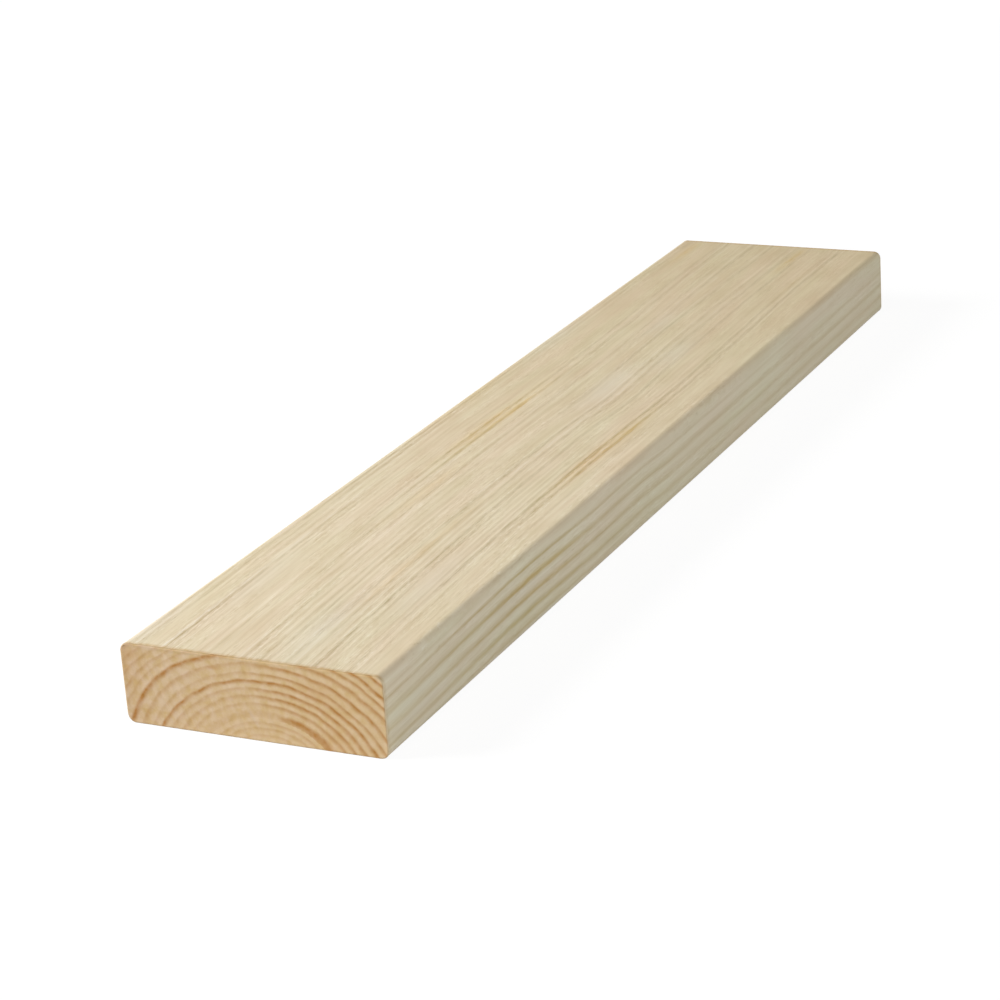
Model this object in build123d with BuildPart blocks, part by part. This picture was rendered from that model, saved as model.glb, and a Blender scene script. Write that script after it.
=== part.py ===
from build123d import *
import os

# A planed softwood plank: one piece of timber, sawn from the log, planed on four
# sides with eased long edges, and trimmed square at both ends.
# X runs across the width, Y along the grain and Z up through the thickness.
# The origin is the middle of the wide face that the plank lies on.

# Driving dimensions, in millimetres.
plank_width = 95.0
plank_thickness = 28.0
plank_length = 480.0

# Radius of the four long edges. Each face keeps a flat strip between its two
# rounded edges, so the radius stays under this share of the narrower face.
arris_radius = 3.0
largest_arris_share = 0.45
narrow_face = min(plank_width, plank_thickness)
arris = min(arris_radius, largest_arris_share * narrow_face)

with BuildPart() as plank:
    # The section across the grain stands on the bottom face, centred on its width.
    with BuildSketch(Plane.XZ) as section:
        Rectangle(plank_width, plank_thickness, align=(Align.CENTER, Align.MIN))
        fillet(section.vertices(), radius=arris)
    # It runs straight along the grain, and both trim cuts are square to it.
    extrude(amount=plank_length / 2, both=True)

plank.part.label = "plank"

os.makedirs("parts", exist_ok=True)
export_step(plank.part, "parts/plank.step")
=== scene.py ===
# %% [markdown]
# # A planed softwood plank
# The plank is one piece of pine, sawn from the log, planed on four sides with its long
# edges eased, and cut square at both ends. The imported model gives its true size. This
# lesson gives it its looks: a mesh with the slight relief of planed and sawn wood, and
# two finishes, one for the planed long grain and one for the sawn end grain.

# %% The frame
import math

import bpy
import numpy as np
from mathutils import Euler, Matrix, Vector


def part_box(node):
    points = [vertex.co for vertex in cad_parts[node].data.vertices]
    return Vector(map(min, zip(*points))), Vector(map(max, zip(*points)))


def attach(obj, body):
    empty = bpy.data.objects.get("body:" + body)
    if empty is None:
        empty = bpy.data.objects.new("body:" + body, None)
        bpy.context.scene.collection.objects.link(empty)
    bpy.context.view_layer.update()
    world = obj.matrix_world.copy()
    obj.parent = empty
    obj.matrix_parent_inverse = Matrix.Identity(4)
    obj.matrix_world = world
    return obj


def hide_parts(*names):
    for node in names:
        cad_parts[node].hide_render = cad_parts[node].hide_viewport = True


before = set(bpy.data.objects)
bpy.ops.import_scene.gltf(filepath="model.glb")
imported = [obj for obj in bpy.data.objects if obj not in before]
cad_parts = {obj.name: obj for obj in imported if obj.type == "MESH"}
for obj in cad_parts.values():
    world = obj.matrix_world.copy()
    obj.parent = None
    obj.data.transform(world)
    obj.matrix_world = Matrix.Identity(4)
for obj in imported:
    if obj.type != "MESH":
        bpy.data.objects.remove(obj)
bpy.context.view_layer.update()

MM = 0.001
lowest, highest = (np.array(corner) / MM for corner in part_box("plank"))
WIDTH, LENGTH, THICKNESS = highest - lowest
print("plank", WIDTH.round(2), "wide,", LENGTH.round(2), "long,", THICKNESS.round(2), "thick")

# %% [markdown]
# ## The camera
# The photograph looks down on the near end from the right. A camera is easiest to set
# by what a photographer would say: what it points at, from how far, how far round, how
# high, and how much it is tilted. These were found by fitting the plank's outline.

# %% The camera
AIM = (-20.4, -17.2, -2.5)
DISTANCE = 1107.1
AROUND, ABOVE, TILT = 26.75, 20.42, -4.06
LENS = 103.99


def camera_at(aim, distance, around, above, tilt):
    """Returns a camera that looks at aim from that distance. Around turns it from the
    near end towards the right side, above lifts it, and tilt turns it on its own axis."""
    camera = bpy.data.objects.new("camera", bpy.data.cameras.new("camera"))
    bpy.context.scene.collection.objects.link(camera)
    turn = Euler((math.radians(90 - above), 0, math.radians(around))).to_matrix()
    turn @= Euler((0, 0, math.radians(tilt))).to_matrix()
    backwards = turn @ Vector((0, 0, 1))
    camera.rotation_euler = turn.to_euler()
    camera.location = (Vector(aim) + backwards * distance) * MM
    return camera


camera = camera_at(AIM, DISTANCE, AROUND, ABOVE, TILT)
camera.data.lens = LENS
bpy.context.scene.camera = camera
print("camera at", [round(c / MM) for c in camera.location], "mm")

# %% [markdown]
# ## The section across the grain
# The plank's section is a rectangle whose corners, the arrises, are eased by the
# planer to a small radius. Walking round it at a steady pace gives one number, the
# distance walked, and everything on the long faces is laid out by that number.
# The outline is an inner rectangle pushed outwards by the arris radius: on a flat the
# inner point moves and the direction stays, and round an arris it is the other way.

# %% The section
ARRIS = 3.0
TOP_HALF = WIDTH / 2 - ARRIS
SIDE = THICKNESS - 2 * ARRIS
QUARTER = ARRIS * math.pi / 2
LEGS = [TOP_HALF, QUARTER, SIDE, QUARTER, 2 * TOP_HALF, QUARTER, SIDE, QUARTER, TOP_HALF]
STOPS = np.concatenate([[0], np.cumsum(LEGS)])
GIRTH = STOPS[-1]


def section(walked, inset=0.0):
    """Returns x, z and the outward direction at that distance round the section, in
    clockwise order from the middle of the top as seen at the near end. The point is the
    inner rectangle's, plus the arris radius less the inset, in the outward direction."""
    at = np.mod(walked, GIRTH)
    a, high, low = TOP_HALF, THICKNESS - ARRIS, ARRIS
    x = np.interp(at, STOPS, [0, a, a, a, a, -a, -a, -a, -a, 0])
    z = np.interp(at, STOPS, [high, high, high, low, low, low, low, high, high, high])
    facing = np.radians(np.interp(at, STOPS, [0, 0, 90, 90, 180, 180, 270, 270, 360, 360]))
    out_x, out_z = np.sin(facing), np.cos(facing)
    return x + (ARRIS - inset) * out_x, z + (ARRIS - inset) * out_z, out_x, out_z


print("round the section it is", round(GIRTH, 1), "mm")

# %% [markdown]
# ## How the grain runs
# A tree isn't a straight tube, so its fibres drift sideways along the board. The drift
# could be a noise that bends the pattern, but then it couldn't follow the photograph.
# Here each point is traced back along its fibre to the near end, and the pattern is
# drawn by where the fibre came from. First come the two curves that most things here
# are made of: a smooth step and a smooth hump.

# %% Steps and humps
def ease(value, start, stop):
    """A smooth step from 0 at start to 1 at stop."""
    t = np.clip((value - start) / (stop - start), 0, 1)
    return t * t * (3 - 2 * t)


def bell(value, middle, spread):
    """A smooth hump of height 1 at the middle, gone at about twice the spread."""
    return np.exp(-((value - middle) / spread) ** 2)


def swing(along, full):
    """Rises from 0 as the first quarter of a sine wave does, and stays at 1 past full."""
    return np.sin(math.pi / 2 * np.clip(along / full, 0, 1))


print("half a step", ease(0.5, 0, 1), "and a hump at its spread", bell(1, 0, 1).round(2))


# %% The drift of the grain
def drift_top(start, along):
    """How far towards -X the fibre that starts at x = start has moved by there: it
    swings over in the first 200 mm, bulges back round a small swelling at 262 mm, and
    moves over once more near the far end, where the fibres also spread unevenly."""
    over = (6.0 - 2.1 * ease(-start, 12, 34)) * swing(along, 200)
    swelling = 1.9 * bell(along, 262, 26) * bell(start, 17, 17)
    bend = 0.8 * bell(along, 216, 26) * bell(start, -27, 12)
    settling = 0.3 * bell(along, 292, 25) * ease(start, -12, 4)
    late = (0.3 + 2.0 * ease(start, -34, -20)) * ease(along, 290, 440)
    fibres = [-46, -30, -16, -3, 4, 20, 32, 46]
    spread = np.interp(start, fibres, [0.4, 0.5, 1.3, 1.2, -1.6, -0.7, 0.6, 0.7])
    return over - swelling + bend - settling + late + spread * ease(along, 350, 440)


def drift_side(along):
    """How far down the fibres of the right side have moved by there."""
    knots = [0, 14, 38, 62, 86, 110, 134, 158, 182, 206, 230, 270, 320, 360, 400, 440, 480]
    shift = [2.9, 2.5, 1.4, 0.5, -0.3, -0.7, -0.3, 0.1, -0.3, -0.4, 0.6, 0.6, 0.6, 0.3, 0, -0.1, -0.6]
    return np.interp(along, knots, shift)


print("a fibre in the middle of the top drifts", drift_top(0, LENGTH).round(1), "mm to the left")

# %% [markdown]
# ### From face to face
# The fibres of the four faces drift by different amounts. Walking round an arris, one
# face's drift has to turn into the next one's, or the lines would break there, so each
# drift fades in and out over a few millimetres. The bottom and the left side don't show
# in the photograph, and have a slow drift of their own.

# %% Tracing a fibre back
# the distances walked over which a side's drift fades out and the bottom's fades in
SIDE_FADES, BOTTOM_GROWS = (68, 80), (70, 80)
BOTTOM_DRIFT, LEFT_DRIFT, LEFT_BEND = -3.5, 1.5, 90


def traced_back(walked, along):
    """Where the fibre at this place started, as a distance round the section. On the
    top the drift depends on the start, so the start is found in a few steps."""
    at = np.mod(walked + GIRTH / 2, GIRTH) - GIRTH / 2
    start = at.copy()
    for _ in range(6):
        start = at + drift_top(start, along)
    on_top = 1 - ease(np.abs(at), TOP_HALF - 2, TOP_HALF + QUARTER + 1)
    on_right = ease(at, TOP_HALF, TOP_HALF + QUARTER) * (1 - ease(at, *SIDE_FADES))
    on_bottom = ease(np.abs(at), *BOTTOM_GROWS)
    on_left = ease(-at, TOP_HALF, TOP_HALF + QUARTER) * (1 - ease(-at, *SIDE_FADES))
    seen = on_top * (start - at) - on_right * drift_side(along)
    hidden = on_bottom * BOTTOM_DRIFT * swing(along, 300) + on_left * LEFT_DRIFT * np.sin(along / LEFT_BEND)
    return at + seen + hidden


print("the fibre in the middle of the far end started at x =", traced_back(0.0, LENGTH).round(1))

# %% [markdown]
# ## The growth rings
# A tree adds a ring each year, pale in spring and dark in late summer. This plank was
# sawn from just above the pith, the tree's middle, so its end shows the rings as arcs.
# They could be evenly spaced circles, but good and bad years differ, so each ring has a
# radius, a width and a darkness of its own, placed from the photograph.

# %% The growth rings
PITH = (4.6, -11.7)
# a ring's height as a share of its width
FLATTENED = 0.784
# how far the pith has moved towards -X by the far end
PITH_DRIFT = 5.0
# radius and half width in mm, and how dark the ring is left and right of the pith
RINGS = (
    (17.9, 0.5, 0.20, 0.25),
    (20.9, 0.5, 0.20, 0.30),
    (23.4, 0.5, 0.20, 0.35),
    (27.4, 1.3, 0.20, 0.72),
    (31.5, 0.6, 0.25, 0.55),
    (34.8, 0.6, 0.30, 0.80),
    (38.1, 0.6, 0.30, 0.80),
    (41.6, 0.6, 0.76, 0.85),
    (44.8, 0.5, 0.25, 0.65),
    (48.7, 0.6, 0.35, 0.75),
    (52.9, 0.7, 0.85, 0.70),
    (56.5, 0.5, 0.25, 0.75),
    (59.7, 0.6, 0.30, 0.95),
    (63.5, 0.5, 0.25, 0.85),
    (67.0, 0.5, 0.25, 0.85),
    (70.5, 0.6, 0.30, 0.60),
)
ring_radius, ring_half, ring_left, ring_right = np.array(RINGS).T
print(len(RINGS), "growth rings,", np.diff(ring_radius).mean().round(1), "mm apart")

# %% [markdown]
# ## Growth lines on the long faces
# Each year's dark latewood meets a planed face as a line along the grain. The lines of
# the top and of the right side are placed from the photograph, in millimetres.
# A line isn't equally dark all along, so its darkness is set at five stations.

# %% Lines on the top
STATIONS = (30, 100, 190, 300, 430)
DARKEST = 24
# where the line starts at the near end, in mm from the middle of the top, its half width
# in mm, and how dark it is at each of the five stations, on a scale of 24
TOP_LINES = (
    (-46.3, 0.5, 2, 3, 3, 3, 1),
    (-43.2, 0.5, 6, 7, 3, 3, 3),
    (-40.0, 0.6, 7, 8, 14, 7, 3),
    (-37.4, 0.5, 1, 6, 9, 5, 4),
    (-34.3, 0.5, 3, 5, 2, 1, 2),
    (-30.5, 0.5, 16, 10, 3, 1, 0),
    (-28.2, 0.4, 6, 6, 2, 1, 0),
    (-25.6, 0.4, 4, 2, 1, 0, 0),
    (-23.0, 0.4, 3, 3, 3, 1, 0),
    (-20.6, 0.4, 4, 4, 1, 2, 0),
    (-18.1, 0.6, 6, 1, 12, 6, 5),
    (-14.3, 0.6, 6, 3, 11, 5, 6),
    (-10.0, 0.5, 3, 6, 4, 2, 0),
    (-5.7, 0.5, 3, 7, 7, 5, 3),
    (-2.2, 0.5, 10, 4, 4, 3, 7),
    (0.7, 0.4, 6, 3, 1, 0, 0),
    (4.0, 0.5, 7, 6, 2, 7, 5),
    (6.7, 0.5, 7, 6, 3, 0, 0),
    (9.4, 0.4, 2, 2, 1, 1, 0),
    (13.3, 0.6, 9, 6, 10, 8, 3),
    (17.2, 0.6, 8, 8, 8, 7, 6),
    (20.3, 0.4, 5, 5, 3, 0, 1),
    (23.2, 0.6, 14, 11, 9, 7, 5),
    (25.8, 0.5, 6, 8, 4, 1, 0),
    (28.1, 0.4, 3, 3, 3, 1, 0),
    (30.4, 0.4, 3, 4, 3, 2, 0),
    (32.8, 0.4, 3, 5, 7, 1, 1),
    (35.3, 0.6, 6, 12, 16, 8, 5),
    (38.5, 0.6, 5, 4, 14, 7, 8),
    (41.6, 0.5, 3, 1, 1, 1, 1),
    (43.6, 0.5, 1, 5, 4, 1, 0),
)
top_lines = np.array(TOP_LINES)
print(len(top_lines), "lines on the top")

# %% Lines on the right side
# the same for the right side, in mm below the top
SIDE_LINES = (
    (2.4, 0.4, 2, 3, 1, 1, 1),
    (5.0, 0.6, 8, 17, 7, 3, 2),
    (10.1, 0.9, 9, 18, 8, 6, 6),
    (15.6, 0.9, 9, 16, 9, 6, 7),
    (20.9, 0.9, 9, 15, 9, 6, 7),
    (24.9, 0.7, 5, 10, 5, 3, 4),
)
side_lines = np.array(SIDE_LINES)
side_lines[:, 0] += TOP_HALF + QUARTER - ARRIS
print(len(side_lines), "lines on the right side")

# %% [markdown]
# ### Lines on the faces that the photograph hides
# Nothing shows where the lines of the bottom and the left side are, but the rings of
# the end run out through these faces, so that is where their lines start.

# %% Lines on the bottom and the left side
BOTTOM_DARK, LEFT_DARK, LEFT_HALF = 9, 6, 0.9


def reach_of_rings(to_face):
    """How far each ring reaches along a flat face that lies to_face away from the pith:
    the third side of a right-angled triangle, or 0 where the ring misses the face."""
    return np.sqrt(np.maximum(ring_radius ** 2 - to_face ** 2, 0))


def line_rows(places, half, dark):
    """Lines as in the tables above, equally dark at all the stations."""
    return np.column_stack([places, half] + [dark] * len(STATIONS))


reach = reach_of_rings(-PITH[1] / FLATTENED)
foot = GIRTH / 2 - PITH[0]
places = np.concatenate([foot - reach, foot + reach])
dark = BOTTOM_DARK * np.concatenate([ring_right, ring_left])
on_face = (np.tile(reach, 2) > 0) & (np.abs(places - GIRTH / 2) < TOP_HALF)
bottom_lines = line_rows(places, np.tile(ring_half, 2), dark)[on_face]

reach = reach_of_rings(WIDTH / 2 + PITH[0]) * FLATTENED
height = PITH[1] + reach
on_face = (reach > 0) & (height > ARRIS) & (height < THICKNESS - ARRIS)
left_middle = -(TOP_HALF + QUARTER + SIDE / 2)
places = left_middle + (height[on_face] - THICKNESS / 2)
left_lines = line_rows(places, np.full_like(places, LEFT_HALF), np.full_like(places, LEFT_DARK))
print(len(bottom_lines), "lines on the bottom and", len(left_lines), "on the left side")

# %% [markdown]
# ### Which line is nearest
# A finish has to know how far each point is from the nearest line. A mesh can't hold
# that distance well, because it jumps halfway between two lines. A running count of the
# lines doesn't jump: it is a whole number on each line and rises evenly in between.

# %% The nearest line
lines = np.concatenate([top_lines, side_lines, bottom_lines, left_lines])
lines[:, 0] -= GIRTH * (lines[:, 0] > GIRTH / 2)
lines = lines[np.argsort(lines[:, 0])]
print(len(lines), "growth lines round the section")


def count_among(value, places):
    """Counts value among places in rising order, of which the first and the last only
    close the row. Returns the running count, 0 at the second place, and the space
    between the two places on either side."""
    count = np.interp(value, places, np.arange(len(places)) - 1.0)
    gap = np.clip(np.floor(count).astype(int) + 1, 0, len(places) - 2)
    return count, np.diff(places)[gap]


def growth_lines(start, along):
    """Returns, for each point, the running count of growth lines, the space between
    two lines as a multiple of the nearest line's half width, and that line's darkness."""
    place, half = lines[:, 0], lines[:, 1]
    all_round = np.concatenate([[place[-1] - GIRTH], place, [place[0] + GIRTH]])
    count, space = count_among(start, all_round)
    row = np.mod(np.round(count).astype(int), len(lines))
    dark = np.zeros(start.shape)
    for station in range(len(STATIONS)):
        weight = np.interp(along, STATIONS, np.eye(len(STATIONS))[station])
        dark += weight * lines[row, 2 + station]
    return count, space / half[row], dark / DARKEST


def latewood_at(count, spacing, dark, width):
    """How much hard latewood there is: the nearest line's darkness, up to 1, times a
    hump across the line whose width is a multiple of the line's half width."""
    offset = (count - np.round(count)) * spacing
    return np.minimum(dark, 1) * bell(offset, 0, width)


# %% [markdown]
# ## Resin and pale patches
# Pine holds resin, which colours some stretches of the grain amber, and between them lie
# cooler, paler ones. They are few, so they are listed one by one: each is a soft oval along
# the grain, and together they make one number for each point, above 0 for amber.

# %% Stains
# fibre's start round the section, place along, half width, half length, all in mm, and
# how strong
STAINS = (
    (-18.4, 226, 1.1, 34, 0.5),
    (-14.6, 232, 1.0, 40, 0.5),
    (-14.6, 246, 0.9, 8, 0.8),
    (-16.5, 226, 3.6, 46, 0.6),
    (-8.0, 155, 2.5, 30, 0.4),
    (35.3, 192, 1.0, 28, 0.45),
    (38.6, 210, 0.9, 38, 0.5),
    (38.6, 232, 0.9, 8, 0.8),
    (36.8, 210, 3.4, 44, 0.6),
    (-40.5, 250, 4.0, 40, 0.35),
    (-33.4, 461, 2.2, 16, 0.75),
    (20.5, 460, 2.2, 20, 0.7),
    (35.0, 425, 1.2, 25, 0.3),
    (16.0, 90, 1.6, 60, 0.4),
    (8.0, 276, 4.5, 26, -0.8),
    (20.0, 322, 4.0, 20, -0.6),
    (0.0, 357, 3.5, 18, -0.5),
    (-40.0, 330, 4.5, 24, -0.5),
    (12.0, 30, 6.0, 26, -0.7),
    (-44.0, 14, 5.0, 22, -0.6),
    (31.0, 70, 4.5, 30, -0.5),
    (-27.0, 58, 4.5, 26, -0.4),
    (55.9, 112, 1.3, 24, 0.9),
    (61.6, 118, 1.2, 18, 0.4),
    (58.6, 104, 1.4, 26, -0.5),
    (53.6, 100, 1.2, 26, -0.2),
    (63.9, 96, 1.4, 26, -0.2),
    (58.6, 20, 1.4, 24, -0.5),
    (63.9, 24, 1.4, 24, -0.4),
)


def stained(start, along):
    """The sum of all stains there: each is its strength times a smooth hump across the
    grain and one along it."""
    total = np.zeros(start.shape)
    for across, middle, half, reach, strength in STAINS:
        total += strength * bell(start, across, half) * bell(along, middle, reach)
    return total


print(sum(stain[-1] > 0 for stain in STAINS), "amber places among", len(STAINS), "stains")

# %% [markdown]
# ## The mesh
# The long faces are the section carried along the length, with closer rows at the two
# ends, where the saw leaves a small soft edge. Each end is a grid stretched between its
# four edges. It is one closed skin: the ends share the points of the long faces.
# The wood isn't glass-flat: earlywood is pressed in a little more than latewood by the
# planer's rollers, and the saw leaves faint ridges on the ends. That relief is cut
# inwards from the true size, so the plank stays inside its box.

# %% The rows
# radius of the soft edge that the saw leaves, in mm
EDGE = 0.35
turn = np.radians([0, 30, 60, 90])
EDGE_ROWS = len(turn)
# past the soft edge the rows open out, and from here on they are evenly spaced
EVEN_FROM, PITCH = 8.0, 3.3
first_rows = np.concatenate([EDGE * (1 - np.cos(turn)), [0.9, 1.8, 3.2, 5.4]])
even_rows = int((LENGTH - 2 * EVEN_FROM) / PITCH)
middle_rows = np.linspace(EVEN_FROM, LENGTH - EVEN_FROM, even_rows)
rows = np.concatenate([first_rows, middle_rows, LENGTH - first_rows[::-1]])
inset = np.zeros(len(rows))
inset[:EDGE_ROWS] = EDGE * (1 - np.sin(turn))
inset[-EDGE_ROWS:] = inset[:EDGE_ROWS][::-1]
print(len(rows), "rows along the grain")

# %% The columns
# how many points there are across the top, through the thickness, and all the way round
ACROSS, THROUGH = 187, 53
ROUND = 2 * (ACROSS + THROUGH)
top_span = 2 * TOP_HALF + QUARTER
side_span = SIDE + QUARTER
corner = -(TOP_HALF + QUARTER / 2)
top_part = np.arange(ACROSS) / ACROSS * top_span
side_part = top_span + np.arange(THROUGH) / THROUGH * side_span
half_walk = np.concatenate([top_part, side_part])
walk = corner + np.concatenate([half_walk, half_walk + top_span + side_span])
print(ROUND, "points round each row, one every", np.diff(walk).mean().round(2), "mm")


# %% Gentle waves
def waves(place, longest, count, seed):
    """A smooth random wave that rarely passes 2 either way: a sum of sines over the root
    of their number. Their lengths run from the longest down to a fifth of it, and each
    has its own phase."""
    random = np.random.default_rng(seed)
    total = np.zeros(np.shape(place))
    for _ in range(count):
        length = longest * random.uniform(0.2, 1.0)
        total = total + np.sin(2 * math.pi * (place / length + random.uniform()))
    return total / math.sqrt(count)


print("a wave of up to 10 mm:", waves(np.arange(0, 10, 2.5), longest=10, count=5, seed=1).round(1))

# %% [markdown]
# ### The rings on the ends
# On a sawn end the rings are read across the section instead of round it. A ring is a
# slightly flattened circle round the pith. It could be drawn in the finish, but the
# relief needs it too, so it is worked out here once and stored at each point.

# %% The rings on the ends
# how far a ring wavers, in mm
WAVER = 0.30
# the blunt shoulder on the left: how deep it is in mm, and the angle and the radius it
# is at, each with its spread
SHOULDER, SHOULDER_ANGLE, SHOULDER_RADIUS = 1.55, (-0.75, 0.25), (55, 6)
# this ring is dark only between these angles to the right of the pith, and else faint
SHORT_RING, SHORT_STARTS, SHORT_STOPS, FAINT = 27.4, (0.1, 0.35), (0.95, 1.15), 0.2
# room kept inside the first ring and outside the last, in mm
INSIDE, OUTSIDE = 3.2, 3.6


def rings_at(x, z, far):
    """The growth rings on an end: their running count, their spacing as a multiple of
    the nearest ring's half width, and its darkness. A ring is a flattened circle round
    the pith, plus a small wave round it, less the shoulder."""
    pith_x = PITH[0] - PITH_DRIFT * far
    dx, dz = x - pith_x, (z - PITH[1]) / FLATTENED
    angle = np.arctan2(dx, dz)
    radius = np.hypot(dx, dz)
    radius = radius + WAVER * waves(angle * 40, longest=60, count=5, seed=5) * ease(radius, 10, 40)
    radius -= SHOULDER * bell(angle, *SHOULDER_ANGLE) * bell(radius, *SHOULDER_RADIUS)
    every = np.concatenate([[ring_radius[0] - INSIDE], ring_radius, [ring_radius[-1] + OUTSIDE]])
    count, space = count_among(radius, every)
    row = np.clip(np.round(count).astype(int), 0, len(ring_radius) - 1)
    right = ease(angle, -0.25, 0.25)
    dark = ring_left[row] * (1 - right) + ring_right[row] * right
    short = dark * ease(angle, *SHORT_STARTS) * (1 - ease(angle, *SHORT_STOPS)) + FAINT
    dark = np.where(ring_radius[row] == SHORT_RING, short, dark)
    return count, space / ring_half[row], dark


print("ring count in the middle of the near end", rings_at(0.0, THICKNESS / 2, False)[0].round(2))

# %% Stains on the ends
# amber and pale places on an end: place across and height, half sizes, in mm, and how
# strong; the thin pale one is a ray, and leans towards the pith
END_STAINS = (
    (-13.0, 23.4, 2.2, 0.6, 0.9),
    (-44.0, 24.5, 3.0, 2.0, 0.6),
    (-46.0, 20.0, 1.2, 5.0, 0.5),
    (24.0, 20.0, 7.0, 3.0, 0.5),
    (33.0, 14.0, 5.0, 3.5, 0.25),
    (29.0, 4.0, 6.0, 4.0, 0.35),
    (40.0, 7.0, 6.0, 7.0, -0.3),
    (-42.0, 14.0, 7.0, 12.0, 0.45),
    (-38.0, 12.0, 6.0, 6.0, -0.4),
    (-27.0, 19.0, 7.0, 3.0, -0.5),
    (-30.0, 8.0, 5.0, 5.0, -0.3),
    (-5.0, 19.0, 6.0, 3.5, -0.3),
    (0.0, 7.5, 0.6, 2.6, -1.5),
)
RAY_LEAN = 0.55


def end_stained(x, z):
    """The sum of the end's stains: each is a smooth hump across, times one in height."""
    total = np.zeros(x.shape)
    for across, height, half, tall, strength in END_STAINS:
        a_ray = half < 1 and strength < 0
        lean = RAY_LEAN * (z - height) if a_ray else 0
        total += strength * bell(x + lean, across, half) * bell(z, height, tall)
    return total


print(len(END_STAINS), "stains on each end")

# %% [markdown]
# ### The long faces
# The planer leaves the hard latewood a hair proud of the soft earlywood. A bump in the
# finish could fake that, but the outline and grazing light show a real edge, so the mesh
# has it, and the bump is kept for what is finer.

# %% The long faces
# how far soft wood is pressed in, and how deep the planer's own waves are, in mm
PRESSED_IN, PLANER_WAVE = 0.05, 0.02
# the relief fades out this near to an end, and the soft edge is up to this much wider
FADE, WORN = 1.5, 0.5


def long_faces():
    """The section at every row, with its relief cut inwards. Returns the points, their
    places on their fibres, and the values for the finishes. The ring values matter only
    on the small soft edge of each end, which the end's finish covers."""
    along, walked = np.meshgrid(rows, walk, indexing="ij")
    start = traced_back(walked, along)
    count, spacing, dark = growth_lines(start, along)
    ridge = latewood_at(count, spacing, dark, width=1.6)
    planed_wave = 1 + waves(start, longest=9, count=5, seed=3) * 0.5
    hollow = PRESSED_IN * (1 - ridge) + PLANER_WAVE * planed_wave
    fade = ease(along, 0, FADE) * ease(LENGTH - along, 0, FADE)
    edge_wear_and_lamp_facing = WORN * np.clip(waves(walked, longest=9, count=12, seed=11) * 0.5 + 0.5, 0, 1)
    edge = inset[:, None] * (1 + edge_wear_and_lamp_facing)
    x, z, out_x, out_z = section(walked, edge + hollow * fade)
    y = along - LENGTH / 2
    moved = start - (np.mod(walked + GIRTH / 2, GIRTH) - GIRTH / 2)
    fibre = np.stack([x + out_z * moved, y, z - out_x * moved], -1)
    on_lines = [count, spacing, dark, stained(start, along)]
    on_rings = [*rings_at(x, z, along > LENGTH / 2), end_stained(x, z)]
    return np.stack([x, y, z], -1), fibre, on_lines + on_rings


tube, tube_fibre, tube_values = long_faces()
print("long faces", tube.shape, "darkest line", tube_values[2].max().round(2))

# %% [markdown]
# ### The ends
# An end could be one big face, but then it could hold no relief and no ring values.
# A grid between the four edges of the section keeps its points evenly spread, right up
# to the rounded corners.

# %% A grid between four edges
def edges_of(loop):
    """Splits a loop round the section into the top, right, bottom and left edge of an
    end's grid, each in the direction in which the grid runs."""
    top = loop[:ACROSS + 1]
    right = loop[ACROSS:ACROSS + THROUGH + 1]
    bottom = loop[ACROSS + THROUGH:2 * ACROSS + THROUGH + 1][::-1]
    left = np.concatenate([loop[2 * ACROSS + THROUGH:], loop[:1]])[::-1]
    return top, right, bottom, left


def cap(loop):
    """A grid stretched between the four edges of one end. Each inner point is the two
    straight blends of opposite edges, added, less the blend of the four corners."""
    top, right, bottom, left = edges_of(loop)
    s = np.linspace(0, 1, ACROSS + 1)[None, :, None]
    t = np.linspace(0, 1, THROUGH + 1)[:, None, None]
    grid = (1 - t) * top[None] + t * bottom[None] + (1 - s) * left[:, None] + s * right[:, None]
    grid -= (1 - s) * (1 - t) * top[0] + s * (1 - t) * top[-1]
    grid -= (1 - s) * t * bottom[0] + s * t * bottom[-1]
    return grid


print("an end's grid", cap(tube[0]).shape)

# %% The ends
# how high the saw's ridges are, and how far soft wood lies below hard, in mm
SAW_RIDGE, SOFT_WOOD = 0.03, 0.04
# the relief grows between these distances from the rim, in mm
RIM = (0.3, 1.5)
# the saw's ridges run slantwise: how much x and z count in them
SLANT = (0.94, 0.34)


def end_face(loop, far):
    """The points of one end and its values. The relief of the saw and of the rings is
    cut inwards, and it fades out at the rim."""
    grid = cap(loop)
    x, z = grid[..., 0], grid[..., 2]
    count, spacing, dark = rings_at(x, z, far)
    from_side = WIDTH / 2 - np.abs(x)
    from_face = THICKNESS / 2 - np.abs(z - THICKNESS / 2)
    rim = ease(np.minimum(from_side, from_face), *RIM)
    ridges = waves(x * SLANT[0] + z * SLANT[1], longest=4, count=6, seed=21 + far)
    saw = SAW_RIDGE * np.clip(1 + ridges * 0.6, 0, 2)
    soft = SOFT_WOOD * (1 - latewood_at(count, spacing, dark, width=1.5))
    inwards = -1 if far else 1
    grid[..., 1] += inwards * (saw + soft) * rim
    return grid, [np.zeros(x.shape)] * 4 + [count, spacing, dark, end_stained(x, z)]


near_grid, near_values = end_face(tube[0], False)
far_grid, far_values = end_face(tube[-1], True)
depth = (near_grid[..., 1].max() + LENGTH / 2).round(3)
print("the relief of the near end is up to", depth, "mm deep")

# %% [markdown]
# ### One closed skin
# All points go into one list: the rows of the long faces, then the inner points of each
# end. Each face is four numbers in that list, in an order that makes it look outwards.
# The alternative, three meshes side by side, would leave a seam at each end.

# %% The faces
number = np.arange(len(rows) * ROUND).reshape(len(rows), ROUND)
inner_size = (THROUGH - 1) * (ACROSS - 1)


def cap_numbers(loop, first):
    """Numbers an end's grid: its edges keep the numbers of the loop that they share with
    the long faces, and its inner points count on from first."""
    numbers = np.zeros((THROUGH + 1, ACROSS + 1), int)
    numbers[0], numbers[:, -1], numbers[-1], numbers[:, 0] = edges_of(loop)
    numbers[1:-1, 1:-1] = first + np.arange(inner_size).reshape(THROUGH - 1, ACROSS - 1)
    return numbers


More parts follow.
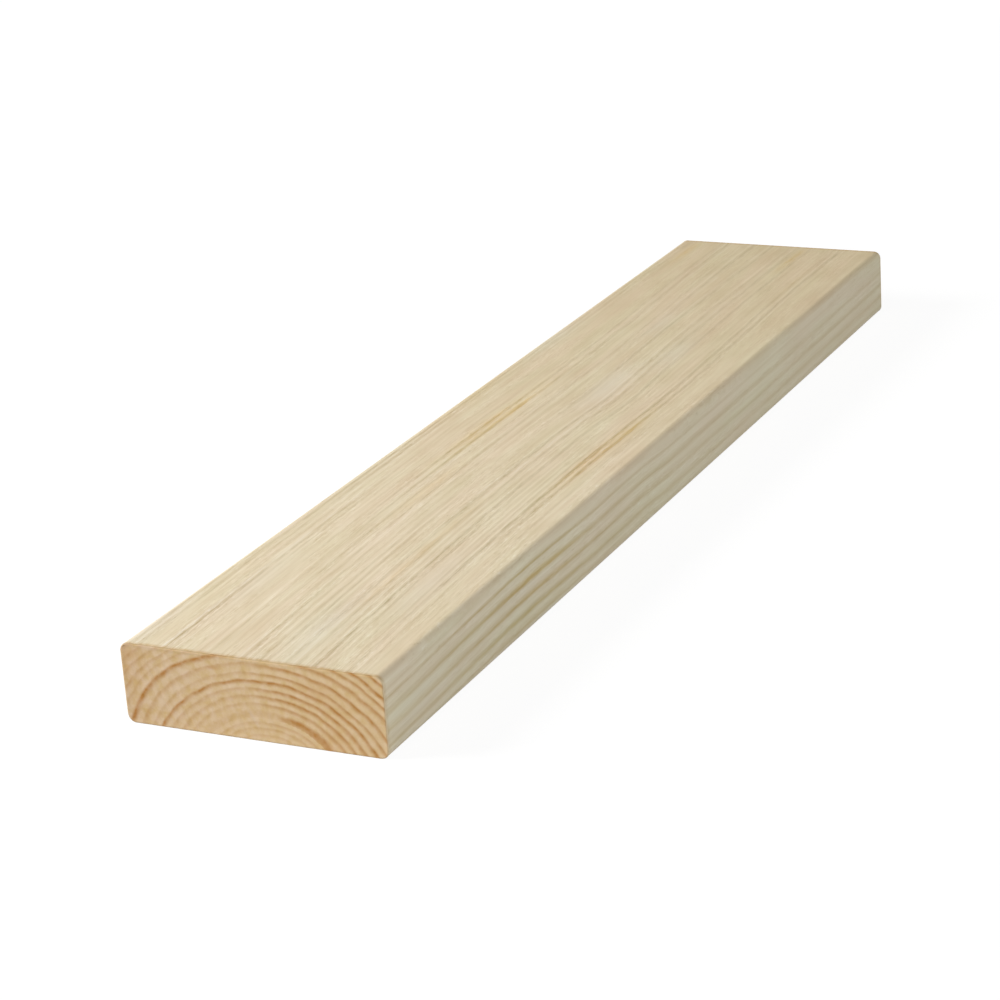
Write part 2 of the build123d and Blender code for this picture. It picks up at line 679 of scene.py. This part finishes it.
def quads_of(grid):
    """The faces of a grid of numbers: each is a number and its three neighbours."""
    four = [grid[:-1, :-1], grid[1:, :-1], grid[1:, 1:], grid[:-1, 1:]]
    return np.stack(four, -1).reshape(-1, 4)


next_one = np.roll(number, -1, axis=1)
tube_quads = np.stack([number[:-1], next_one[:-1], next_one[1:], number[1:]], -1).reshape(-1, 4)
near_quads = quads_of(cap_numbers(number[0], number.size))
far_quads = quads_of(cap_numbers(number[-1], number.size + inner_size))[:, ::-1]
faces = np.concatenate([tube_quads, near_quads, far_quads])
# finish 0 is the planed one, and finish 1 the sawn one, which also covers the soft edges
kinds = np.zeros(len(faces), np.int32)
soft_edge = (EDGE_ROWS - 1) * ROUND
kinds[:soft_edge] = 1
kinds[len(tube_quads) - soft_edge:] = 1
print(2 * len(faces), "triangles,", kinds.mean().round(2), "of the faces sawn")


# %% The points
def joined(on_tube, on_near, on_far):
    """Joins what the long faces hold with what the inner points of each end hold."""
    width = on_tube.shape[2:]
    inner = [part[1:-1, 1:-1].reshape(-1, *width) for part in (on_near, on_far)]
    return np.concatenate([on_tube.reshape(-1, *width), *inner])


points = joined(tube, near_grid, far_grid)
fibres = joined(tube_fibre, near_grid, far_grid)
values = [joined(*each) for each in zip(tube_values, near_values, far_values)]
one, two, three, four = np.moveaxis(points[faces], 1, 0)
volume = (one * (np.cross(two, three) + np.cross(three, four))).sum() / 6
print(len(points), "points,", round(volume / 1000, 1), "cm3 inside")

# %% The mesh
mesh = bpy.data.meshes.new("plank_wood")
mesh.from_pydata(points * MM, [], faces)
mesh.polygons.foreach_set("use_smooth", np.ones(len(faces), bool))
mesh.polygons.foreach_set("material_index", kinds)
LINE_NAMES = ["line_count", "line_spacing", "line_dark", "stain"]
RING_NAMES = ["ring_count", "ring_spacing", "ring_dark", "end_stain"]
for name, value in zip(LINE_NAMES + RING_NAMES, values):
    store = mesh.attributes.new(name, "FLOAT", "POINT")
    store.data.foreach_set("value", value.astype(np.float32))
fibre_store = mesh.attributes.new("fibre", "FLOAT_VECTOR", "POINT")
fibre_store.data.foreach_set("vector", fibres.astype(np.float32).ravel())
plank = bpy.data.objects.new("plank_wood", mesh)
bpy.context.scene.collection.objects.link(plank)
print(plank.name, "has", len(mesh.polygons), "faces")

# %% [markdown]
# ## Colours and nodes
# Paint charts give colours as sRGB hex values, and Blender mixes light in linear ones,
# so one function changes them. One more adds a node, with its settings and links.

# %% Helpers
def linear(hex_colour):
    """Turns an sRGB hex colour into the linear values that Blender mixes."""
    parts = [int(hex_colour[i:i + 2], 16) / 255 for i in (1, 3, 5)]
    return [p / 12.92 if p <= 0.04045 else ((p + 0.055) / 1.055) ** 2.4 for p in parts] + [1.0]


def add(tree, kind, inputs=None, **settings):
    """Adds one node and returns its outputs. Settings are its properties, and inputs are
    values or other nodes' outputs, by the input's name or number."""
    made = tree.nodes.new("ShaderNode" + kind)
    for name, value in settings.items():
        setattr(made, name, value)
    for key, value in (inputs or {}).items():
        if isinstance(value, bpy.types.NodeSocket):
            tree.links.new(value, made.inputs[key])
        else:
            made.inputs[key].default_value = value
    return made.outputs


def finish_named(name):
    """Starts a finish and returns it with its node tree and its surface shader."""
    made = bpy.data.materials.new(name)
    made.use_nodes = True
    return made, made.node_tree, made.node_tree.nodes["Principled BSDF"]


# settings that recur; a colour Mix has its colours at inputs 6 and 7 and its result at 2
PLUS, MINUS = {"operation": "ADD"}, {"operation": "SUBTRACT"}
TIMES, TIMES_PLUS = {"operation": "MULTIPLY"}, {"operation": "MULTIPLY_ADD"}
BLEND = {"data_type": "RGBA", "blend_type": "MIX"}
MULTIPLY_MIX = {"data_type": "RGBA", "blend_type": "MULTIPLY"}
WHITE = "#FFFFFF"

print("mid grey #808080 is", round(linear("#808080")[0], 3), "in linear light")

# %% [markdown]
# ## Planed pine
# Pine from the planer is pale straw with darker latewood lines and a dull sheen. The
# count of growth lines tells the nodes how far each point is from a line, so the lines
# stay sharp at any size. Everything else is noise, stretched along the grain as fibres
# are, and sized in millimetres.

# %% Planed pine
planed, tree, shader = finish_named("pine_planed_on_four_sides")
stored = [add(tree, "Attribute", attribute_name=name)["Fac"] for name in LINE_NAMES]
count, spacing, dark, stain = stored
fibre = add(tree, "Attribute", attribute_name="fibre")["Vector"]


def streaks(tree, place, across_mm, along_mm, offset=0.0, detail=3.0):
    """Noise whose streaks are about so wide and so long. The offset moves it, so that
    two patterns never fall on each other."""
    sizes = {"Scale": (1 / across_mm, 1 / along_mm, 1 / across_mm), "Location": (offset, 0, offset)}
    moved = add(tree, "Mapping", {"Vector": place, **sizes})["Vector"]
    return add(tree, "TexNoise", {"Vector": moved, "Scale": 1.0, "Detail": detail})["Fac"]


print(planed.name, "reads the lines of", len(mesh.vertices), "points")

# %% [markdown]
# ### Wide and narrow faces
# The rings meet a wide face at a slant and a narrow one almost squarely, so the same
# wood looks different on them. The way the surface faces tells which is which, and a
# value for the one blends into a value for the other round the arris.

# %% Wide and narrow faces
object_place = add(tree, "TexCoord")
along = add(tree, "SeparateXYZ", {0: object_place["Object"]})["Y"]
upright = add(tree, "SeparateXYZ", {0: object_place["Normal"]})["Z"]
upright = add(tree, "Math", {0: upright}, operation="ABSOLUTE")[0]
wide_face = add(tree, "MapRange", {"Value": upright, "From Min": 0.3, "From Max": 0.95})[0]
narrow_face = add(tree, "Math", {0: 1.0, 1: wide_face}, **MINUS)[0]


def by_face(on_wide, on_narrow):
    """One value on the wide faces and another on the narrow ones, blended between."""
    return add(tree, "MapRange", {"Value": narrow_face, "To Min": on_wide, "To Max": on_narrow})[0]


print("faces told apart with", len(tree.nodes), "nodes so far")

# %% [markdown]
# ### The growth lines
# Each line is a soft dark bell across the grain. On the wide face, which the rings meet
# at a slant, its two sides are nearly alike. On the narrow face the tone deepens slowly
# and ends sooner. A line wavers a little, breaks up into dashes, and on the wide face
# has paler wood beside it, which makes it look crisp.

# %% Shapes of lines
def line_profile(tree, count, spacing, wander, before, after):
    """How much of the nearest growth line is at each point: e to the power of the
    squared distance times a steepness, which changes from before the line to after it.
    The distance, in half widths, is the fraction of the count times the spacing."""
    shifted = add(tree, "Math", {0: count, 1: 0.5}, **PLUS)[0]
    part = add(tree, "Math", {0: shifted}, operation="FRACT")[0]
    part = add(tree, "Math", {0: part, 1: 0.5}, **MINUS)[0]
    offset = add(tree, "Math", {0: part, 1: spacing, 2: wander}, **TIMES_PLUS)[0]
    square = add(tree, "Math", {0: offset, 1: offset}, **TIMES)[0]
    ends = {"Value": offset, "From Min": -0.8, "From Max": 0.8, "To Min": before, "To Max": after}
    steepness = add(tree, "MapRange", ends)[0]
    fall = add(tree, "Math", {0: square, 1: steepness}, **TIMES)[0]
    return add(tree, "Math", {0: fall}, operation="EXPONENT")[0], offset


def hump(tree, value, middle, width):
    """A smooth hump of height 1 at the middle: e to minus the square of the distance
    over the width."""
    away = add(tree, "Math", {0: value, 1: middle}, **MINUS)[0]
    away = add(tree, "Math", {0: away, 1: 1 / width}, **TIMES)[0]
    square = add(tree, "Math", {0: away, 1: away}, **TIMES)[0]
    fall = add(tree, "Math", {0: square, 1: -1.0}, **TIMES)[0]
    return add(tree, "Math", {0: fall}, operation="EXPONENT")[0]


print("one half width before its middle a line has", round(math.exp(-0.5), 2), "of its strength")

# %% Growth lines
# how wide and how long the bends and the dashes of a line are, in mm
BENDS, DASHES = (5.0, 24.0), (0.7, 9.0)
bends = streaks(tree, fibre, *BENDS, offset=3.0, detail=4.0)
sideways = add(tree, "Math", {0: bends, 1: -0.5}, **PLUS)[0]
wander = add(tree, "Math", {0: sideways, 1: by_face(2.5, 1.0)}, **TIMES)[0]
profile, offset = line_profile(tree, count, spacing, wander, -0.5, by_face(-0.75, -1.3))
dashes = {"Value": streaks(tree, fibre, *DASHES, offset=7.0), "From Min": 0.3, "From Max": 0.7}
broken = add(tree, "MapRange", {**dashes, "To Min": by_face(0.25, 0.8), "To Max": by_face(1.75, 1.2)})[0]
amount = add(tree, "Math", {0: dark, 1: broken}, **TIMES)[0]
latewood = add(tree, "Math", {0: profile, 1: amount}, **TIMES)[0]
either_side = add(tree, "Math", {0: offset}, operation="ABSOLUTE")[0]
beside = hump(tree, either_side, by_face(3.0, 1.8), 1.1)
past_line = {"Value": offset, "From Min": -0.5, "From Max": 0.5, "To Min": wide_face}
past_line = add(tree, "MapRange", past_line)[0]
beside = add(tree, "Math", {0: beside, 1: past_line}, **TIMES)[0]
beside = add(tree, "Math", {0: beside, 1: amount}, **TIMES)[0]
print("a line breaks up into dashes about", DASHES[1], "mm long")

# %% [markdown]
# ### The tone of the wood between the lines
# The wood between two lines is calm in some places and finely streaked in others, most
# of all near a line, and it is calmer towards the far end. So the fine streaks and the
# flecks are multiplied by how busy the wood is there. The pale flecks are painted
# highlights, glints of cut fibre ends catching the light, and the dull ones are darker.

# %% How busy the wood is
LIVELY = (7.0, 50.0)
lively = {"Value": streaks(tree, fibre, *LIVELY, offset=41.0), "From Min": 0.4, "From Max": 0.6}
busy = add(tree, "MapRange", {**lively, "To Min": 0.05, "To Max": 1.2})[0]
near_line = add(tree, "Math", {0: hump(tree, either_side, 0.0, 3.5), 1: dark}, **TIMES)[0]
busy = add(tree, "Math", {0: near_line, 1: 1.2, 2: busy}, **TIMES_PLUS)[0]
busy = add(tree, "Math", {0: busy, 1: by_face(1.0, 0.55)}, **TIMES)[0]
calm = {"Value": along, "From Min": -0.05, "From Max": 0.12, "To Min": 1.0, "To Max": 0.7}
calm = add(tree, "MapRange", calm)[0]
busy = add(tree, "Math", {0: busy, 1: calm}, **TIMES)[0]
print("lively and calm places are about", LIVELY[0], "by", LIVELY[1], "mm")

# %% Tone between the lines
# how wide and how long the fine, broad and cloudy streaks and the flecks are, in mm
FINE, BROAD, CLOUDY, FLECKS = (0.5, 9.0), (1.2, 55.0), (7.0, 30.0), (0.45, 3.0)
DEEP, PALE, DULL = "#D2C4A6", "#EBE4D0", "#CFC4A8"
fine = add(tree, "Math", {0: streaks(tree, fibre, *FINE, offset=11.0), 1: -0.5}, **PLUS)[0]
fine = add(tree, "Math", {0: fine, 1: busy}, **TIMES)[0]
broad = add(tree, "Math", {0: streaks(tree, fibre, *BROAD), 1: -0.5}, **PLUS)[0]
tone = add(tree, "Math", {0: broad, 1: calm, 2: 0.5}, **TIMES_PLUS)[0]
cloudy = add(tree, "Math", {0: streaks(tree, fibre, *CLOUDY, offset=5.0), 1: -0.5}, **PLUS)[0]
tone = add(tree, "Math", {0: cloudy, 1: by_face(0.9, 0.3), 2: tone}, **TIMES_PLUS)[0]
tone = add(tree, "Math", {0: fine, 1: 1.25, 2: tone}, **TIMES_PLUS)[0]
wood = add(tree, "Mix", {0: tone, 6: linear(DEEP), 7: linear(PALE)}, **BLEND)[2]
flecks = streaks(tree, fibre, *FLECKS, offset=23.0, detail=2.0)
# painted highlights: where the flecks are palest, white is mixed in as glints of cut fibre ends
painted_glint = add(tree, "MapRange", {"Value": flecks, "From Min": 0.58, "From Max": 0.75, "To Max": 0.28})[0]
painted_glint = add(tree, "Math", {0: painted_glint, 1: busy}, **TIMES)[0]
dull = add(tree, "MapRange", {"Value": flecks, "From Min": 0.40, "From Max": 0.24, "To Max": 0.4})[0]
dull = add(tree, "Math", {0: dull, 1: busy}, **TIMES)[0]
# the painted glints, mixed into the wood's colour
wood = add(tree, "Mix", {0: painted_glint, 6: wood, 7: linear(WHITE)}, **BLEND)[2]
wood = add(tree, "Mix", {0: dull, 6: wood, 7: linear(DULL)}, **MULTIPLY_MIX)[2]
print("fine streaks of", FINE, "mm and flecks of", FLECKS, "mm")

# %% [markdown]
# ### Hue, tints and edges
# The wood's hue drifts slightly between greenish and rosy. The wide faces are a little
# warmer than the narrow ones, and deepen a little towards the far end. At the very ends
# the crushed fibres take on the end grain's colour in an uneven rim.

# %% Hue and tints
HUES = (9.0, 60.0)
GREENISH, ROSY = "#FDFFFB", "#FFFCFB"
WIDE_TINT, NARROW_TINT, FAR_TINT = "#FEF8F1", "#FCFCFA", "#F8F5EC"
drift = {"Value": streaks(tree, fibre, *HUES, offset=17.0), "From Min": 0.35, "From Max": 0.65}
drift = add(tree, "MapRange", drift)[0]
blush = add(tree, "Mix", {0: drift, 6: linear(GREENISH), 7: linear(ROSY)}, **BLEND)[2]
wood = add(tree, "Mix", {0: 1.0, 6: wood, 7: blush}, **MULTIPLY_MIX)[2]
face_dye = add(tree, "Mix", {0: wide_face, 6: linear(NARROW_TINT), 7: linear(WIDE_TINT)}, **BLEND)[2]
wood = add(tree, "Mix", {0: 1.0, 6: wood, 7: face_dye}, **MULTIPLY_MIX)[2]
further = add(tree, "MapRange", {"Value": along, "From Min": -0.1, "From Max": 0.24, "To Max": wide_face})[0]
wood = add(tree, "Mix", {0: further, 6: wood, 7: linear(FAR_TINT)}, **MULTIPLY_MIX)[2]
print("the hue drifts over about", HUES[1], "mm along the grain")

# %% The rim of crushed fibres
END_TINT = "#E2CDAA"
RAGGED = (2.5, 6.0)
from_middle = add(tree, "Math", {0: along}, operation="ABSOLUTE")[0]
last_mm = {"Value": from_middle, "From Min": 0.2378, "From Max": 0.2396, "To Max": by_face(1.0, 0.5)}
last_mm = add(tree, "MapRange", last_mm)[0]
ragged = {"Value": streaks(tree, fibre, *RAGGED, offset=31.0), "From Min": 0.2, "From Max": 0.6}
ragged = add(tree, "MapRange", {**ragged, "To Max": last_mm})[0]
wood = add(tree, "Mix", {0: ragged, 6: wood, 7: linear(END_TINT)}, **MULTIPLY_MIX)[2]
print("the rim is uneven by about", RAGGED[0], "mm across the grain")

# %% [markdown]
# ### Lines and resin on the wood
# The latewood multiplies the wood's colour, so it stays translucent, and the wood beside
# it is lightened. Resin multiplies in amber where the stain is above 0, in ragged
# streaks, so that the lines still show through it, and a paler, cooler tone is blended
# in where it is below.

# %% Lines and resin
LINE_TINT, SIDE_LINE_TINT = "#D1CCBA", "#CFBC7C"
RESIN, COOL = "#F9E9C4", "#E2E0D8"
SOAKED = (0.8, 9.0)
line_dye = add(tree, "Mix", {0: narrow_face, 6: linear(LINE_TINT), 7: linear(SIDE_LINE_TINT)}, **BLEND)[2]
kept = add(tree, "MapRange", {"Value": ragged, "To Min": 1.0, "To Max": 0.4})[0]
shown = add(tree, "Math", {0: latewood, 1: kept}, **TIMES)[0]
wood = add(tree, "Mix", {0: shown, 6: wood, 7: line_dye}, **MULTIPLY_MIX)[2]
lightened = add(tree, "Math", {0: beside, 1: by_face(0.3, 0.0)}, **TIMES)[0]
wood = add(tree, "Mix", {0: lightened, 6: wood, 7: linear(WHITE)}, **BLEND)[2]
soaked = {"Value": streaks(tree, fibre, *SOAKED, offset=29.0), "From Min": 0.3, "From Max": 0.65}
soaked = add(tree, "MapRange", {**soaked, "To Min": 0.3, "To Max": 1.0})[0]
amber = add(tree, "Math", {0: stain, 1: soaked}, **TIMES)[0]
pale = add(tree, "Math", {0: stain, 1: -0.30}, **TIMES)[0]
wood = add(tree, "Mix", {0: amber, 6: wood, 7: linear(RESIN)}, **MULTIPLY_MIX)[2]
wood = add(tree, "Mix", {0: pale, 6: wood, 7: linear(COOL)}, **BLEND)[2]
tree.links.new(wood, shader.inputs["Base Color"])
print("resin soaks in along streaks of", SOAKED, "mm")

# %% [markdown]
# ### Sheen and relief
# Bare planed wood has a dull sheen, a little glossier on the dense latewood. The mesh
# has the broad relief, and the bump adds what is too fine for it: the streaks, and a
# shallow groove along each line.

# %% Sheen and relief
GROOVE_MM = 0.03
gloss = add(tree, "Math", {0: latewood, 1: -0.12, 2: 0.66}, **TIMES_PLUS)[0]
tree.links.new(gloss, shader.inputs["Roughness"])
shader.inputs["Specular IOR Level"].default_value = 0.25
groove = add(tree, "Math", {0: latewood, 1: -1.0}, **TIMES)[0]
height = add(tree, "Math", {0: fine, 1: 0.6, 2: groove}, **TIMES_PLUS)[0]
bump = add(tree, "Bump", {"Height": height, "Distance": GROOVE_MM * MM, "Strength": 0.6})["Normal"]
tree.links.new(bump, shader.inputs["Normal"])
mesh.materials.append(planed)
print(planed.name, "has", len(tree.nodes), "nodes")

# %% [markdown]
# ## Sawn end grain
# The saw cuts every fibre across, so the end drinks in light: it is darker, warmer and
# more matt than the planed faces. The rings show as arcs round the pith, sharper on
# their outer side, where growth stopped for the winter. They are patchy, and more so
# towards the left.

# %% Sawn end grain
sawn, tree, shader = finish_named("pine_sawn_end_grain")
stored = [add(tree, "Attribute", attribute_name=name)["Fac"] for name in RING_NAMES]
count, spacing, dark, stain = stored
object_place = add(tree, "TexCoord")
in_mm = add(tree, "VectorMath", {0: object_place["Object"], 3: 1 / MM}, operation="SCALE")["Vector"]
# how wide and how high the bends and the patches of a ring are, in mm
RING_BENDS, PATCHES = (6.0, 6.0), (2.6, 2.6)
bends = streaks(tree, in_mm, *RING_BENDS, offset=3.0, detail=1.0)
sideways = add(tree, "Math", {0: bends, 1: -0.5}, **PLUS)[0]
wander = add(tree, "Math", {0: sideways, 1: 2.2}, **TIMES)[0]
profile, offset = line_profile(tree, count, spacing, wander, -0.35, -1.0)
print("a ring wavers over about", RING_BENDS[0], "mm")

# %% Patchy rings
from_left = add(tree, "SeparateXYZ", {0: object_place["Object"]})["X"]
to_left = {"Value": from_left, "From Min": 0.03, "From Max": -0.0475}
to_left = add(tree, "MapRange", to_left)[0]
least = add(tree, "MapRange", {"Value": to_left, "To Min": 0.7, "To Max": 0.6})[0]
most = add(tree, "MapRange", {"Value": to_left, "To Min": 1.3, "To Max": 1.4})[0]
patches = {"Value": streaks(tree, in_mm, *PATCHES, offset=8.3), "From Min": 0.3, "From Max": 0.7}
patchy = add(tree, "MapRange", {**patches, "To Min": least, "To Max": most})[0]
latewood = add(tree, "Math", {0: profile, 1: dark}, **TIMES)[0]
latewood = add(tree, "Math", {0: latewood, 1: patchy}, **TIMES)[0]
print("the rings' patches are", PATCHES[0], "mm wide")

# %% [markdown]
# ### The colours of the end grain
# The wood between the rings is mottled yellow and pink, in patches of about 3 mm, with
# fine pores. Resin and dry places come from the stains, the rings multiply the colour,
# and the whole end gets slightly darker and cooler towards the left: painted shade that
# evens out the lamps' stronger light there. The soft edge round it is greyer above and at
# the left, where it faces the main lamp: painted shade that keeps it from catching a
# highlight. It is paler at the right, where it lies in that lamp's shade: partly the
# planed side's colour, partly painted light.

# %% Mottled wood
# how wide and how high the pores and the mottled patches are, in mm
PORES, MOTTLED = (0.7, 0.7), (3.2, 3.2)
YELLOWISH, PINKISH = "#DFBF85", "#EFD5B1"
pores = streaks(tree, in_mm, *PORES, offset=11.0)
mottled = add(tree, "Math", {0: streaks(tree, in_mm, *MOTTLED, offset=5.0), 1: -0.5}, **PLUS)[0]
mottling = add(tree, "MapRange", {"Value": to_left, "To Min": 1.8, "To Max": 2.6})[0]
tone = add(tree, "Math", {0: mottled, 1: mottling, 2: 0.35}, **TIMES_PLUS)[0]
tone = add(tree, "Math", {0: pores, 1: 0.3, 2: tone}, **TIMES_PLUS)[0]
wood = add(tree, "Mix", {0: tone, 6: linear(YELLOWISH), 7: linear(PINKISH)}, **BLEND)[2]
print("pores of", PORES[0], "mm in patches of", MOTTLED[0], "mm")

# %% Resin, rings and rim
END_RESIN, DRY, RING_TINT, LEFT_PAINTED_SHADE = "#D2A063", "#E8D1B5", "#D8B384", "#F4F4FB"
PAINTED_RIM_SHADE, SIDE_RIM = "#CECECC", "#DDCCAA"
amber = add(tree, "Math", {0: stain, 1: 0.5}, **TIMES)[0]
pale = add(tree, "Math", {0: stain, 1: -0.4}, **TIMES)[0]
facing = add(tree, "SeparateXYZ", {0: object_place["Normal"]})
# how far the soft edge faces up or to the left, towards the main lamp: there it gets painted shade, so that
# it shows no highlight
leftwards = add(tree, "Math", {0: facing["X"], 1: -1.0}, **TIMES)[0]
edge_wear_and_lamp_facing = add(tree, "Math", {0: facing["Z"], 1: leftwards}, operation="MAXIMUM")[0]
rim = add(tree, "MapRange", {"Value": edge_wear_and_lamp_facing, "From Min": 0.2, "From Max": 0.8})[0]
# the soft edge facing right lies in the main lamp's shade and is blended paler: partly the planed side's
# colour, partly painted light
side_colour_and_painted_light = add(tree, "MapRange", {"Value": facing["X"], "From Min": 0.1, "From Max": 0.7, "To Max": 0.8})[0]
blends = [(amber, END_RESIN, BLEND), (pale, DRY, BLEND)]
# the rings' colour is the wood's own; the darkening towards the left and on the rim is painted shade
rings_and_painted_shade = [(latewood, RING_TINT, MULTIPLY_MIX), (to_left, LEFT_PAINTED_SHADE, MULTIPLY_MIX), (rim, PAINTED_RIM_SHADE, MULTIPLY_MIX)]
for share, colour, way in [*blends, *rings_and_painted_shade, (side_colour_and_painted_light, SIDE_RIM, BLEND)]:
    wood = add(tree, "Mix", {0: share, 6: wood, 7: linear(colour)}, **way)[2]
tree.links.new(wood, shader.inputs["Base Color"])
# the rim's grey is painted shade
print("the rings are dyed", RING_TINT, "and the rim", PAINTED_RIM_SHADE)

# %% Matt and rough
SAW_BUMP_MM = 0.05
shader.inputs["Roughness"].default_value = 0.85
shader.inputs["Specular IOR Level"].default_value = 0.2
bump = add(tree, "Bump", {"Height": tone, "Distance": SAW_BUMP_MM * MM, "Strength": 0.5})["Normal"]
tree.links.new(bump, shader.inputs["Normal"])
mesh.materials.append(sawn)
print(sawn.name, "has", len(tree.nodes), "nodes")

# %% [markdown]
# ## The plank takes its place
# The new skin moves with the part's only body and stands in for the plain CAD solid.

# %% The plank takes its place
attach(plank, "root")
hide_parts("plank")
print(plank.name, "stands in for the CAD plank")

# %% [markdown]
# ## Floor and light
# A plank on a white studio floor: the floor glows white to the camera, so the picture's
# background is plain, but near the plank it keeps a part of its own shade, so the shadow
# shows. To all other light it is plain grey, so that it doesn't flood the plank with
# white from below.

# %% The floor
# the floor's size in metres, and how far it lies under the plank
FLOOR, UNDER = 40.0, 0.05 * MM
half = FLOOR / 2
floor_mesh = bpy.data.meshes.new("floor")
floor_corners = [(-half, -half, 0), (half, -half, 0), (half, half, 0), (-half, half, 0)]
floor_mesh.from_pydata(floor_corners, [], [(0, 1, 2, 3)])
floor = bpy.data.objects.new("floor", floor_mesh)
floor.location.z = -UNDER
bpy.context.scene.collection.objects.link(floor)
print("a floor of", FLOOR, "m")


# %% The floor's white
def seen_directly(tree):
    """1 for what the camera sees straight, in a reflection or through glass, else 0."""
    rays = add(tree, "LightPath")
    seen = add(tree, "Math", {0: rays["Is Camera Ray"], 1: rays["Is Glossy Ray"]}, operation="MAXIMUM")[0]
    return add(tree, "Math", {0: seen, 1: rays["Is Transmission Ray"]}, operation="MAXIMUM")[0]


# between these distances in metres the floor's own shade fades out
NEAR, AWAY = 0.35, 0.9
# the grey that other light meets, the share of shade that is kept near the plank, the
# strength of the glow, and how much the glow changes for all of that share
GREY, SHADE, GLOW, GLOW_LOST = (0.45, 0.45, 0.45, 1), 0.12, 1.02, -0.8
paper, tree, shader = finish_named("white_studio_floor")
tree.nodes.remove(shader)
seen = seen_directly(tree)
matt = add(tree, "BsdfDiffuse", {"Color": GREY})["BSDF"]
middle = add(tree, "TexCoord")["Object"]
away = add(tree, "VectorMath", {0: middle}, operation="LENGTH")["Value"]
fading = {"Value": away, "From Min": NEAR, "From Max": AWAY, "To Min": 1.0, "To Max": 0.0}
near = add(tree, "MapRange", fading, interpolation_type="SMOOTHSTEP")[0]
share = add(tree, "Math", {0: near, 1: SHADE}, **TIMES)[0]
shade_colour = add(tree, "CombineColor", {0: share, 1: share, 2: share})[0]
shaded = add(tree, "BsdfDiffuse", {"Color": shade_colour})["BSDF"]
strength = add(tree, "Math", {0: share, 1: GLOW_LOST, 2: GLOW}, **TIMES_PLUS)[0]
glow = add(tree, "Emission", {"Color": linear(WHITE), "Strength": strength})["Emission"]
seen_floor = add(tree, "AddShader", {0: shaded, 1: glow})[0]
both = add(tree, "MixShader", {0: seen, 1: matt, 2: seen_floor})[0]
tree.links.new(both, tree.nodes["Material Output"].inputs["Surface"])
floor_mesh.materials.append(paper)
print(paper.name, "keeps", SHADE, "of its shade near the plank")

# %% [markdown]
# ### The lamps
# In the photograph the top and the near end are bright and the right side is duller, so
# the main lamp is above, in front and to the left. A wide, weaker one from the right
# keeps the side open, and an even grey light from all round fills what is left.

# %% The lamps
def soft_lamp(name, direction, distance, size, power, colour):
    """A round soft lamp that shines at the plank's middle from that direction."""
    lamp = bpy.data.lights.new(name, "AREA")
    lamp.shape = "DISK"
    lamp.size, lamp.energy, lamp.color = size, power, colour
    made = bpy.data.objects.new(name, lamp)
    bpy.context.scene.collection.objects.link(made)
    towards = Vector(direction).normalized()
    made.location = towards * distance
    made.rotation_euler = towards.to_track_quat("Z", "Y").to_euler()
    print(name, "lamp,", size, "m wide,", distance, "m away,", power, "W")


soft_lamp("key", (-1.5, -0.85, 1.0), distance=1.4, size=0.7, power=23.2, colour=(1.0, 0.985, 0.96))
soft_lamp("fill", (1.0, -0.24, 0.19), distance=2.0, size=1.6, power=20.6, colour=(1.0, 1.0, 1.0))

# %% The light from all round
ALL_ROUND = 0.27
world = bpy.data.worlds.new("studio")
bpy.context.scene.world = world
world.use_nodes = True
tree = world.node_tree
seen = seen_directly(tree)
fill = add(tree, "Background", {"Color": linear(WHITE), "Strength": ALL_ROUND})["Background"]
white = add(tree, "Background", {"Color": linear(WHITE), "Strength": 1.0})["Background"]
both = add(tree, "MixShader", {0: seen, 1: fill, 2: white})[0]
tree.nodes.remove(tree.nodes["Background"])
tree.links.new(both, tree.nodes["World Output"].inputs["Surface"])

view = bpy.context.scene.view_settings
view.view_transform = "Standard"
print("all round", ALL_ROUND, "and the view transform is", view.view_transform)
